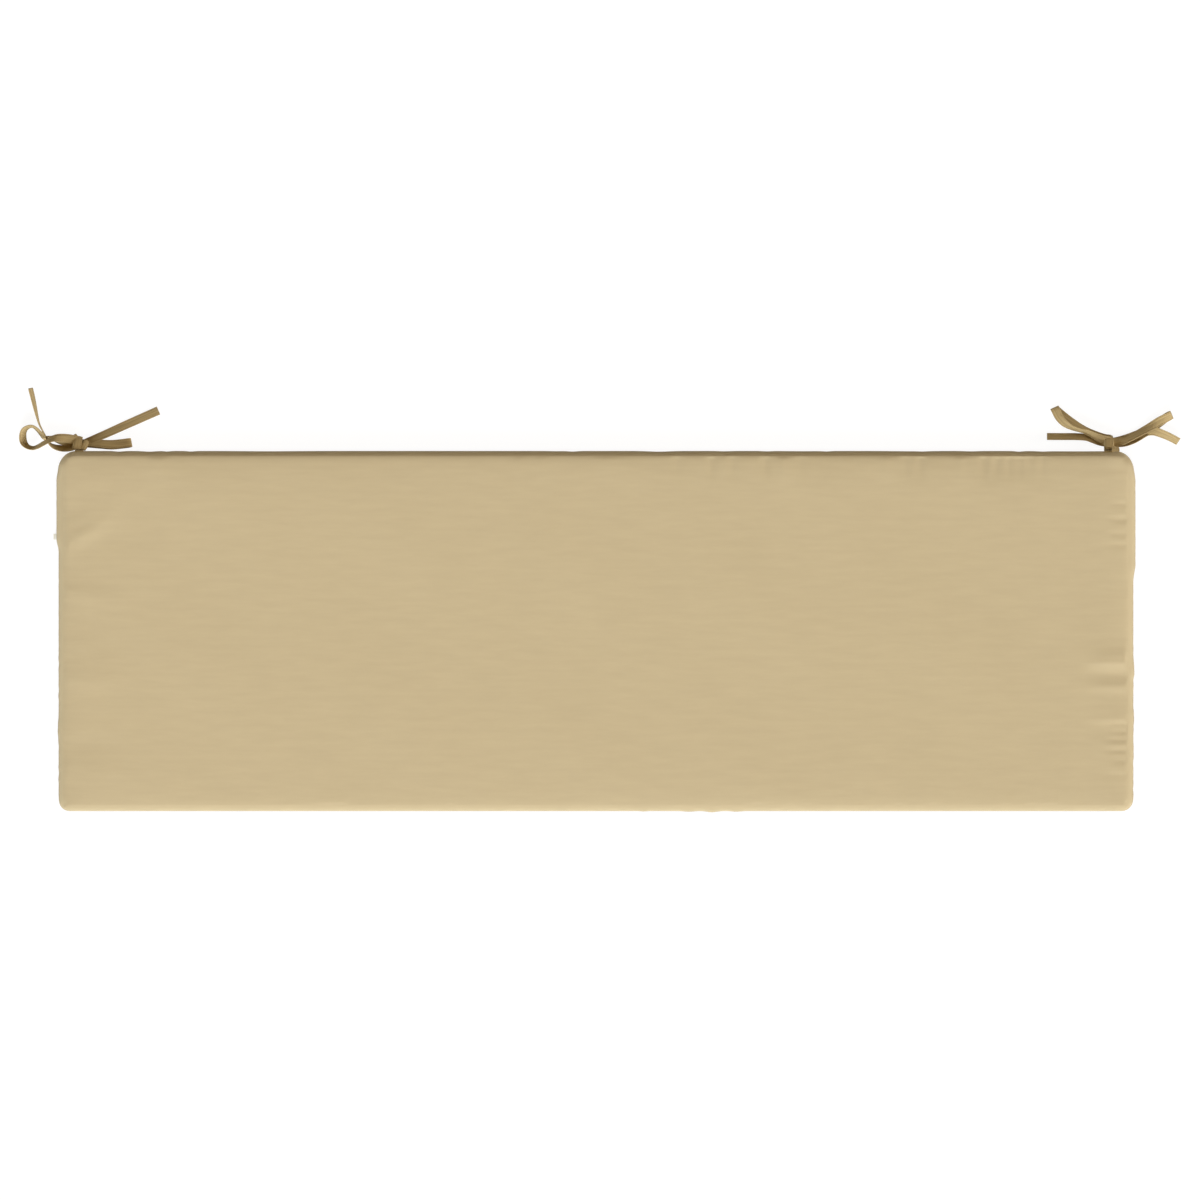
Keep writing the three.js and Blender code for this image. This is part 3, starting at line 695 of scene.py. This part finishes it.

# The ties, from each knot's middle: x, y, z, plan direction of the tape's width, its rise. They
# were chosen from the photo. Bands are the turns round a knot, and lobes are its core.
leftTie = {
    "name": "tieLeft",
    "node": "tie_left",
    "knot": (-718.7, 262.7),
    "tapes": {
        "stub": [
            (-1, -16.4, 25, 0, 0), (-1, -13.4, 21.6, 0, 0), (-1, -12, 16.5, 0, 0),
            (-1, -11.2, 11.5, 0, 0), (-1, -10, 7.4, 0, 0), (-1, -7.4, 5.2, 0, 0),
            (-1, -2.6, 4.8, 0, 0),
        ],
        "openLoop": [
            (-2, 1, 9.4, 262, 8), (-9, 3.6, 10.6, 260, 10), (-18, 5.2, 11.8, 262, 14),
            (-28.5, 5.8, 13.6, 268, 26), (-37, 4.8, 16, 280, 46), (-44.5, 1.6, 17.4, 297, 60),
            (-52, -2.4, 14.4, 300, 64), (-59, -6.2, 10, 290, 66), (-66, -8.3, 7.2, 270, 66),
            (-73, -6.4, 6.4, 240, 58), (-78.4, -0.8, 5.8, 198, 38), (-80, 7.8, 5.6, 180, 38),
            (-78.2, 16.2, 5.8, 150, 50), (-73, 20.8, 6.6, 120, 66), (-66.6, 21.9, 6.9, 85, 73),
            (-60.4, 18, 6.9, 58, 70), (-54.9, 12, 7, 48, 66), (-49.4, 6.2, 6.9, 50, 60),
            (-43.6, 5.4, 6.6, 66, 58), (-35.5, 4.6, 6.2, 80, 52), (-26, 1.2, 6.2, 88, 38),
            (-15, 0, 6.6, 90, 30), (-3, -0.6, 7, 90, 20),
        ],
        "endA": [
            (-2, -3.6, 6, 90, -48), (-10, -7.6, 5.6, 86, -48), (-20, -8.9, 5.4, 88, -46),
            (-29, -8.2, 5.6, 82, -48), (-36.5, -6.2, 6.2, 68, -60), (-42, -2.6, 6.6, 52, -74),
            (-45.6, 3, 6.9, 38, -82), (-49, 9.6, 7, 30, -84), (-53, 17, 7, 26, -84),
            (-57, 25.4, 6.9, 20, -82), (-60, 36, 6.7, 14, -76), (-63.2, 50, 6.4, 12, -67),
            (-66.4, 64, 6.2, 12, -61), (-69.2, 75.4, 6.1, 12, -60),
        ],
        "flatLoop": [
            (2, -0.6, 6.6, 90, -50), (12, -1, 7.8, 90, -44), (27, -2, 9.6, 90, -32),
            (44, -3, 9.2, 90, -18), (58, -1.9, 8, 94, -12), (67.5, -0.7, 7.5, 99, -10),
            (71.4, -0.5, 5.6, 101, -8), (69.4, -1.3, 3, 100, -6), (60, -2.7, 1.7, 95, -3),
            (44, -4.1, 1.6, 90, -3), (27, -2.8, 2, 90, -6), (13, -1.8, 3.6, 90, -16),
            (3, -1.6, 5.2, 90, -30),
        ],
        "endB": [
            (2, -1.6, 6.2, 100, -55), (12, 1.7, 5.6, 106, -42), (24, 6.4, 4.7, 112, -32),
            (40, 13.3, 4.2, 114, -26), (62, 23.2, 3.7, 114, -21), (85, 33.4, 3.3, 114, -17),
            (109.2, 44.1, 2.9, 114, -14),
        ],
    },
    "bands": [
        {
            "x": -3.4, "y": -1, "z": 7.5, "along": 18.4, "high": 12.6, "wide": 12.2, "turn": -7,
            "lean": 0.47,
        },
        {
            "x": 6.5, "y": -4.2, "z": 7.2, "along": 14.2, "high": 12.6, "wide": 8.6, "turn": -26,
            "lean": 0.5,
        },
    ],
    "lobes": [
        {
            "x": -3.3, "y": -1, "z": 7.5, "across": 13.6, "along": 17, "high": 10.6, "turn": -7,
            "lean": 0.47,
        },
        {
            "x": 6.6, "y": -4.4, "z": 7.2, "across": 9.4, "along": 12.4, "high": 11, "turn": -26,
            "lean": 0.5,
        },
        {
            "x": -6.4, "y": 8.4, "z": 6, "across": 5.6, "along": 6, "high": 6, "turn": 35,
            "lean": 0.2,
        },
    ],
}
rightTie = {
    "name": "tieRight",
    "node": "tie_right",
    "knot": (715, 262.7),
    "tapes": {
        "stub": [
            (-0.2, -16.4, 25, 0, 0), (-0.2, -13.4, 21.6, 0, 0), (-0.2, -12, 16.5, 0, 0),
            (-0.2, -11.2, 11.5, 0, 0), (-0.2, -10, 7, 0, 0), (-0.2, -7.4, 4.6, 0, 0),
            (-0.2, -2.6, 4.2, 0, 0),
        ],
        "secondStub": [
            (9, -17, 20.4, 0, -34), (9.2, -13.6, 19.8, 0, -36), (9.4, -10.6, 17.4, 0, -38),
            (9.5, -8.2, 13.4, -4, -40), (9.2, -6, 10, -10, -38), (8, -3.4, 7.4, -10, -30),
            (6, -1, 6.2, 0, -20),
        ],
        "leftLoop": [
            (3, 1.6, 10.4, 256, -10), (-8, 3.6, 10.4, 250, -18), (-19, 8.2, 10.4, 246, -40),
            (-30, 13.8, 10.6, 248, -60), (-41, 16.6, 10.8, 248, -66), (-52, 20.6, 10.4, 238, -56),
            (-62, 27, 9.4, 226, -34), (-69.2, 35.4, 8, 212, -16), (-74, 45, 7, 205, -8),
            (-75.6, 48.2, 5.2, 203, -4), (-73.6, 45.4, 2.9, 206, 6), (-63.4, 37, 3.4, 222, 22),
            (-50.8, 28, 4.4, 230, 34), (-39.2, 20.4, 5, 238, 38), (-28.8, 14.6, 5.4, 244, 34),
            (-17.6, 9.6, 6, 250, 26), (-6, 5.4, 6.6, 256, 14), (3, 4, 6.6, 256, 6),
        ],
        "leftEnd": [
            (2, -2, 6.8, 80, -58), (-6, -2.8, 6.3, 76, -60), (-14, -0.8, 5.9, 72, -56),
            (-22, 2.8, 5.6, 76, -48), (-31, 6.4, 5.4, 86, -42), (-45, 7.6, 5.3, 90, -40),
            (-65, 7.7, 5.2, 90, -40), (-86, 7.8, 5.2, 90, -40),
        ],
        "rightLoop": [
            (-3, 0.4, 9, 95, -4), (5, 0.2, 9.4, 96, -5), (14, 0.2, 10, 104, -17),
            (27, 4.6, 10.4, 116, -38), (44, 13.6, 9.8, 120, -36), (59, 22, 8.8, 120, -24),
            (73, 30.2, 8.4, 116, 4), (85, 36.2, 7.4, 113, 23), (87.9, 38.1, 5.9, 113, 26),
            (84.6, 37.2, 4.5, 113, 25), (75, 30.4, 3, 116, 6), (61, 19.8, 3.8, 122, -16),
            (47, 10.4, 5, 122, -30), (34.5, 2.8, 5.4, 116, -38), (21.5, -1.4, 5.6, 106, -38),
            (8, -2, 6, 96, -34), (-2, -1.6, 6.2, 94, -30),
        ],
        "rightEnd": [
            (2, -0.6, 4.4, 100, 4), (12, 1, 2.6, 108, 2), (26, 5, 1.6, 114, 2),
            (40, 10.2, 2.4, 108, 0), (51, 14.2, 5.4, 97, 0), (62, 15.4, 7.6, 82, 8),
            (74, 11.8, 7.8, 70, 22), (86, 6.6, 6.4, 63, 30), (97.4, 0.6, 4.6, 62, 32),
        ],
    },
    "bands": [
        {
            "x": 0.2, "y": -0.4, "z": 7.7, "along": 19, "high": 13.4, "wide": 11.8, "turn": 1,
            "lean": 0.48,
        },
    ],
    "lobes": [
        {
            "x": 0.6, "y": 0.2, "z": 7.4, "across": 15.5, "along": 15.4, "high": 10.6, "turn": 0,
            "lean": 0.48,
        },
        {
            "x": 3.4, "y": -7.2, "z": 6.6, "across": 6.4, "along": 7, "high": 8, "turn": 0,
            "lean": 0,
        },
    ],
}


def smoothPath(rows, step):
    # A centripetal Catmull-Rom curve: between two points, a cubic whose slopes come from the
    # neighbours, weighed by the square roots of the gaps. Then it is spread at even lengths.
    rows = np.array(rows, float)
    turn, rise = np.radians(rows[:, 3]), np.radians(rows[:, 4])
    level = np.cos(rise)
    width = np.stack([level * np.cos(turn), level * np.sin(turn), np.sin(rise)], -1)
    points = np.hstack([rows[:, :3], width])
    points = np.vstack([2 * points[0] - points[1], points, 2 * points[-1] - points[-2]])
    gaps = np.linalg.norm(np.diff(points[:, :3], axis=0), axis=1)[:, None] ** 0.5
    before, start, end, after = points[:-3], points[1:-2], points[2:-1], points[3:]
    gapA, gapB, gapC = gaps[:-2], gaps[1:-1], gaps[2:]
    span = end - start
    slopeA = ((start - before) / gapA - (end - before) / (gapA + gapB)) * gapB + span
    slopeB = ((after - end) / gapC - (after - start) / (gapB + gapC)) * gapB + span
    fineSteps, fewest = 24, 6
    t = np.linspace(0, 1, fineSteps, endpoint=False)[None, :, None]
    curve = start[:, None] + slopeA[:, None] * t
    curve = curve + (3 * span - 2 * slopeA - slopeB)[:, None] * t**2
    curve = curve + (slopeA + slopeB - 2 * span)[:, None] * t**3
    curve = np.vstack([curve.reshape(-1, 6), points[-2]])
    lengths = np.linalg.norm(np.diff(curve[:, :3], axis=0), axis=1)
    reached = np.concatenate([[0], np.cumsum(lengths)])
    places = np.linspace(0, reached[-1], max(fewest, round(reached[-1] / step)) + 1)
    spread = np.stack([np.interp(places, reached, column) for column in curve.T], -1)
    return spread[:, :3], spread[:, 3:], places


# A quarter of the tape's section, from its edge to the middle of its face: share of the half
# width, share of the half thickness. The stitches draw it in just inside the edge.
sectionQuarter = np.array([
    (-1, 0), (-0.985, 0.55), (-0.95, 0.9), (-0.88, 1), (-0.79, 0.98), (-0.73, 0.72),
    (-0.67, 0.96), (-0.5, 1.04), (-0.25, 1.02), (0, 1),
])
sectionHalf = np.concatenate([sectionQuarter, sectionQuarter[-2::-1] * (-1, 1)])
tapeSection = np.concatenate([sectionHalf, sectionHalf[-2:0:-1] * (1, -1)])

# How the tapes, bands and lobes are drawn: lengths in mm, and the bands' turn in degrees.
knotValues = {
    "pathStep": 1.2,
    "endLength": 0.8,
    "bandStep": 0.8,
    "bandFrom": -115,
    "bandTo": 275,
    "bandPoints": 60,
    "bandPower": 0.8,
    "bandBow": 0.7,
    "lobeRings": 25,
    "lobePoints": 49,
    "lobePower": 0.66,
    "creases": 4,
    "creaseDepth": 0.05,
}


def tapeGrid(centres, widths, lengths, width, thickness, bow=0.0):
    # The section is carried along the path: across follows the width direction made square to
    # the path, and face is square to both. Both ends close over endLength. bow bends the
    # section's edges back, as on tape pulled round something.
    forward = np.gradient(centres, axis=0)
    forward /= np.linalg.norm(forward, axis=1)[:, None]
    across = widths - (widths * forward).sum(1)[:, None] * forward
    across /= np.linalg.norm(across, axis=1)[:, None]
    face = np.cross(forward, across)
    closing = np.minimum(lengths, lengths[-1] - lengths) / knotValues["endLength"]
    full = np.sqrt(np.clip(1 - (1 - np.clip(closing, 0, 1)) ** 2, 0, 1))[:, None]
    side = tapeSection[:, 0] * width / 2
    up = tapeSection[:, 1] * thickness / 2 * full - bow * tapeSection[:, 0] ** 2
    points = (
        centres[:, None] + across[:, None] * side[None, :, None] + face[:, None] * up[..., None]
    )
    flat = np.stack(np.broadcast_arrays(side[None], lengths[:, None]), -1)
    return points, flat


def blunt(value, power):
    # a sine or cosine to a power, with its sign kept, which flattens a round form's sides
    return np.sign(value) * np.abs(value) ** power


def bandPath(band, k):
    # One turn round the knot and a little more: a blunt ellipse in the upright plane, leaning, so
    # that its level falls by lean times the way ahead.
    angle = np.linspace(math.radians(k["bandFrom"]), math.radians(k["bandTo"]), k["bandPoints"])
    ahead = band["along"] / 2 * blunt(np.cos(angle), k["bandPower"])
    up = band["high"] / 2 * blunt(np.sin(angle), k["bandPower"])
    turn = math.radians(band["turn"])
    centres = np.stack(
        [
            band["x"] - ahead * math.sin(turn),
            band["y"] + ahead * math.cos(turn),
            band["z"] + up - band["lean"] * ahead,
        ],
        -1,
    )
    across = np.array([math.cos(turn), math.sin(turn), 0.0])
    gaps = np.linalg.norm(np.diff(centres, axis=0), axis=1)
    reached = np.concatenate([[0], np.cumsum(gaps)])
    places = np.linspace(0, reached[-1], round(reached[-1] / k["bandStep"]))
    centres = np.stack([np.interp(places, reached, column) for column in centres.T], -1)
    return centres, np.tile(across, (len(places), 1)), places


def lobeGrid(lobe, k):
    # the bunched tape inside a knot: a blunt ball, finely creased along its turns
    tilt, around = np.meshgrid(
        np.linspace(0, math.pi, k["lobeRings"]),
        np.linspace(0, 2 * math.pi, k["lobePoints"]),
        indexing="ij",
    )
    crease = 1 - k["creaseDepth"] * np.abs(np.sin(k["creases"] * around)) * np.sin(tilt)
    x = lobe["across"] / 2 * blunt(np.sin(tilt) * np.cos(around), k["lobePower"]) * crease
    y = lobe["along"] / 2 * blunt(np.cos(tilt), k["lobePower"])
    z = lobe["high"] / 2 * blunt(np.sin(tilt) * np.sin(around), k["lobePower"]) * crease
    turn = math.radians(lobe["turn"])
    points = np.stack(
        [
            lobe["x"] + x * math.cos(turn) - y * math.sin(turn),
            lobe["y"] + x * math.sin(turn) + y * math.cos(turn),
            lobe["z"] + z - lobe["lean"] * y,
        ],
        -1,
    )
    return points, np.stack([x, y], -1)


def pressKnot(v, points):
    # the floor presses up what hangs under pressLevel, to a share of its way down
    below = np.minimum(points[..., 2] - v["pressLevel"], 0)
    points[..., 2] -= (1 - v["press"]) * below
    return points


def makeTie(tie, v, k):
    # the tapes, the bands and the lobes of one tie, joined as one mesh
    allPoints, patches, count, total = [], [], 0, 0.0
    grids = []
    for rows in tie["tapes"].values():
        centres, widths, lengths = smoothPath(rows, k["pathStep"])
        total += lengths[-1]
        grids.append((tapeGrid(centres, widths, lengths, v["width"], v["thickness"]), True))
    for band in tie["bands"]:
        centres, widths, lengths = bandPath(band, k)
        total += lengths[-1]
        points, flat = tapeGrid(
            centres, widths, lengths, band["wide"], v["thickness"], bow=k["bandBow"]
        )
        grids.append(((pressKnot(v, points), flat), True))
    for lobe in tie["lobes"]:
        points, flat = lobeGrid(lobe, k)
        grids.append(((pressKnot(v, points), flat), False))
    for (points, flat), wraps in grids:
        rows, columns = points.shape[:2]
        index = numbered(rows, columns, count)
        if wraps:
            index, flat = wrapped(index), wrapped(flat)
        allPoints.append(points.reshape(-1, 3))
        patches.append(patchFaces(index, flat))
        count += rows * columns
    points = np.concatenate(allPoints) + np.array([*tie["knot"], 0])
    piece = makePiece(tie["name"], points, patches, tieCloth)
    weldEnds(piece)
    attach(piece, "root")
    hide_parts(tie["node"])
    print(tie["name"], "made:", round(total), "mm of tape")


makeTie(leftTie, tapeValues, knotValues)
makeTie(rightTie, tapeValues, knotValues)

# The tab: a short loop of ribbon, sewn flat to the left end.
tabValues = {
    "x": -742.9,
    "y": 131.5,
    "level": 2.55,
    "width": 8,
    "reach": 13.3,
    "thickness": 0.36,
    "gap": 0.3,
    "places": (0, 3, 6, 9, 12),
    "foldStart": 0.45,
    "slant": 0.06,
    "lift": 0.008,
    "pathStep": 0.6,
}


def makeTab(v):
    # out along the top layer, round the fold and back below; the lift grows with the square of
    # the way out
    layer = np.array([*v["places"], v["reach"] - v["foldStart"]])
    fold = v["reach"] - v["thickness"] / 2
    out = np.concatenate([layer, [fold], layer[::-1]])
    side = np.repeat([1, 0, -1], [len(layer), 1, len(layer)]) * (v["gap"] + v["thickness"]) / 2
    rows = np.stack(
        [
            v["x"] - out,
            v["y"] - v["slant"] * out,
            v["level"] + v["lift"] * out**2 + side,
            np.full(len(out), 90.0),
            np.zeros(len(out)),
        ],
        -1,
    )
    centres, widths, lengths = smoothPath(rows, v["pathStep"])
    points, flat = tapeGrid(centres, widths, lengths, v["width"], v["thickness"])
    patch = patchFaces(wrapped(numbered(*points.shape[:2])), wrapped(flat))
    piece = makePiece("sideTab", points.reshape(-1, 3), [patch], tabCloth)
    weldEnds(piece)
    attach(piece, "root")
    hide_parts("side_tab")
    print("tab made")


makeTab(tabValues)

# A plain pale floor and soft studio light, mostly low from the near side. Each lamp's share is
# what it adds to a white level surface. The lamps' shares and tints started from a program's fit
# of one-lamp renders to patches of the photo. The floor's radius and level are in metres.
studioValues = {
    "floorColour": "5a5a5a",
    "floorGlow": 0.93,
    "floorRadius": 90,
    "floorLevel": -0.0004,
    "floorRings": 9,
    "floorPoints": 65,
    "sky": 0.06,
    "skyTint": "fff2dc",
    "below": 0.15,
    "horizon": (-0.15, 0.0),
    "lamps": [
        {"name": "near", "height": 29, "turn": -90, "angle": 36, "share": 0.78, "tint": "f9fbfc"},
        {"name": "right", "height": 15, "turn": 0, "angle": 24, "share": 0.28, "tint": "faf6f2"},
        {"name": "left", "height": 12, "turn": 180, "angle": 16, "share": 0.14, "tint": "f6faff"},
        {"name": "far", "height": 25, "turn": 90, "angle": 30, "share": 0.045, "tint": "fff0c8"},
        {"name": "overhead", "height": 88, "turn": 0, "angle": 60, "share": 0.19, "tint": "ffcc70"},
    ],
}


def makeStudio(v):
    # the floor is a disc of rings; it glows, so that shadows on it stay pale
    radius = v["floorRadius"] * np.linspace(0, 1, v["floorRings"])[:, None] ** 2
    around = np.linspace(0, 2 * math.pi, v["floorPoints"])[None, :]
    x, y = radius * np.cos(around), radius * np.sin(around)
    points = np.stack([x, y, np.full_like(x, v["floorLevel"])], -1) / mm
    material, tree = newMaterial("matt white paint")
    surfaceOf(
        tree,
        {
            "Base Color": toLinear(v["floorColour"]),
            "Roughness": 0.9,
            "Specular IOR Level": 0.0,
            "Emission Color": (1, 1, 1, 1),
            "Emission Strength": v["floorGlow"],
        },
    )
    patch = patchFaces(numbered(*x.shape), points[..., :2])
    floor = makePiece("floor", points.reshape(-1, 3), [patch], material)
    weldEnds(floor)
    floor.visible_diffuse = False  # the light from below comes from the dimmer half of the sky

    for lamp in v["lamps"]:
        sun = bpy.data.lights.new(lamp["name"], "SUN")
        height, turn = math.radians(lamp["height"]), math.radians(lamp["turn"])
        sun.energy = math.pi * lamp["share"] / math.sin(height)
        sun.angle = math.radians(lamp["angle"])
        sun.color = toLinear(lamp["tint"])[:3]
        light = bpy.data.objects.new(lamp["name"], sun)
        level = math.cos(height)
        towards = Vector((level * math.cos(turn), level * math.sin(turn), math.sin(height)))
        light.rotation_euler = towards.to_track_quat("Z", "Y").to_euler()
        bpy.context.scene.collection.objects.link(light)

    world = bpy.data.worlds.new("studio")
    bpy.context.scene.world = world
    world.use_nodes = True
    tree = world.node_tree
    tree.nodes.clear()
    direction = addNode(tree, "ShaderNodeTexCoord").outputs["Generated"]
    rise = addNode(tree, "ShaderNodeSeparateXYZ", {0: direction}).outputs[2]
    above = shareOf(tree, rise, *v["horizon"])
    belowLight, skyLight = (toLinear(v["skyTint"], v[half]) for half in ("below", "sky"))
    light = mixColours(tree, above, belowLight, skyLight)
    sky = addNode(tree, "ShaderNodeBackground", {"Color": light})
    addNode(tree, "ShaderNodeOutputWorld", {"Surface": sky.outputs[0]})
    bpy.context.scene.view_settings.view_transform = "Standard"


makeStudio(studioValues)
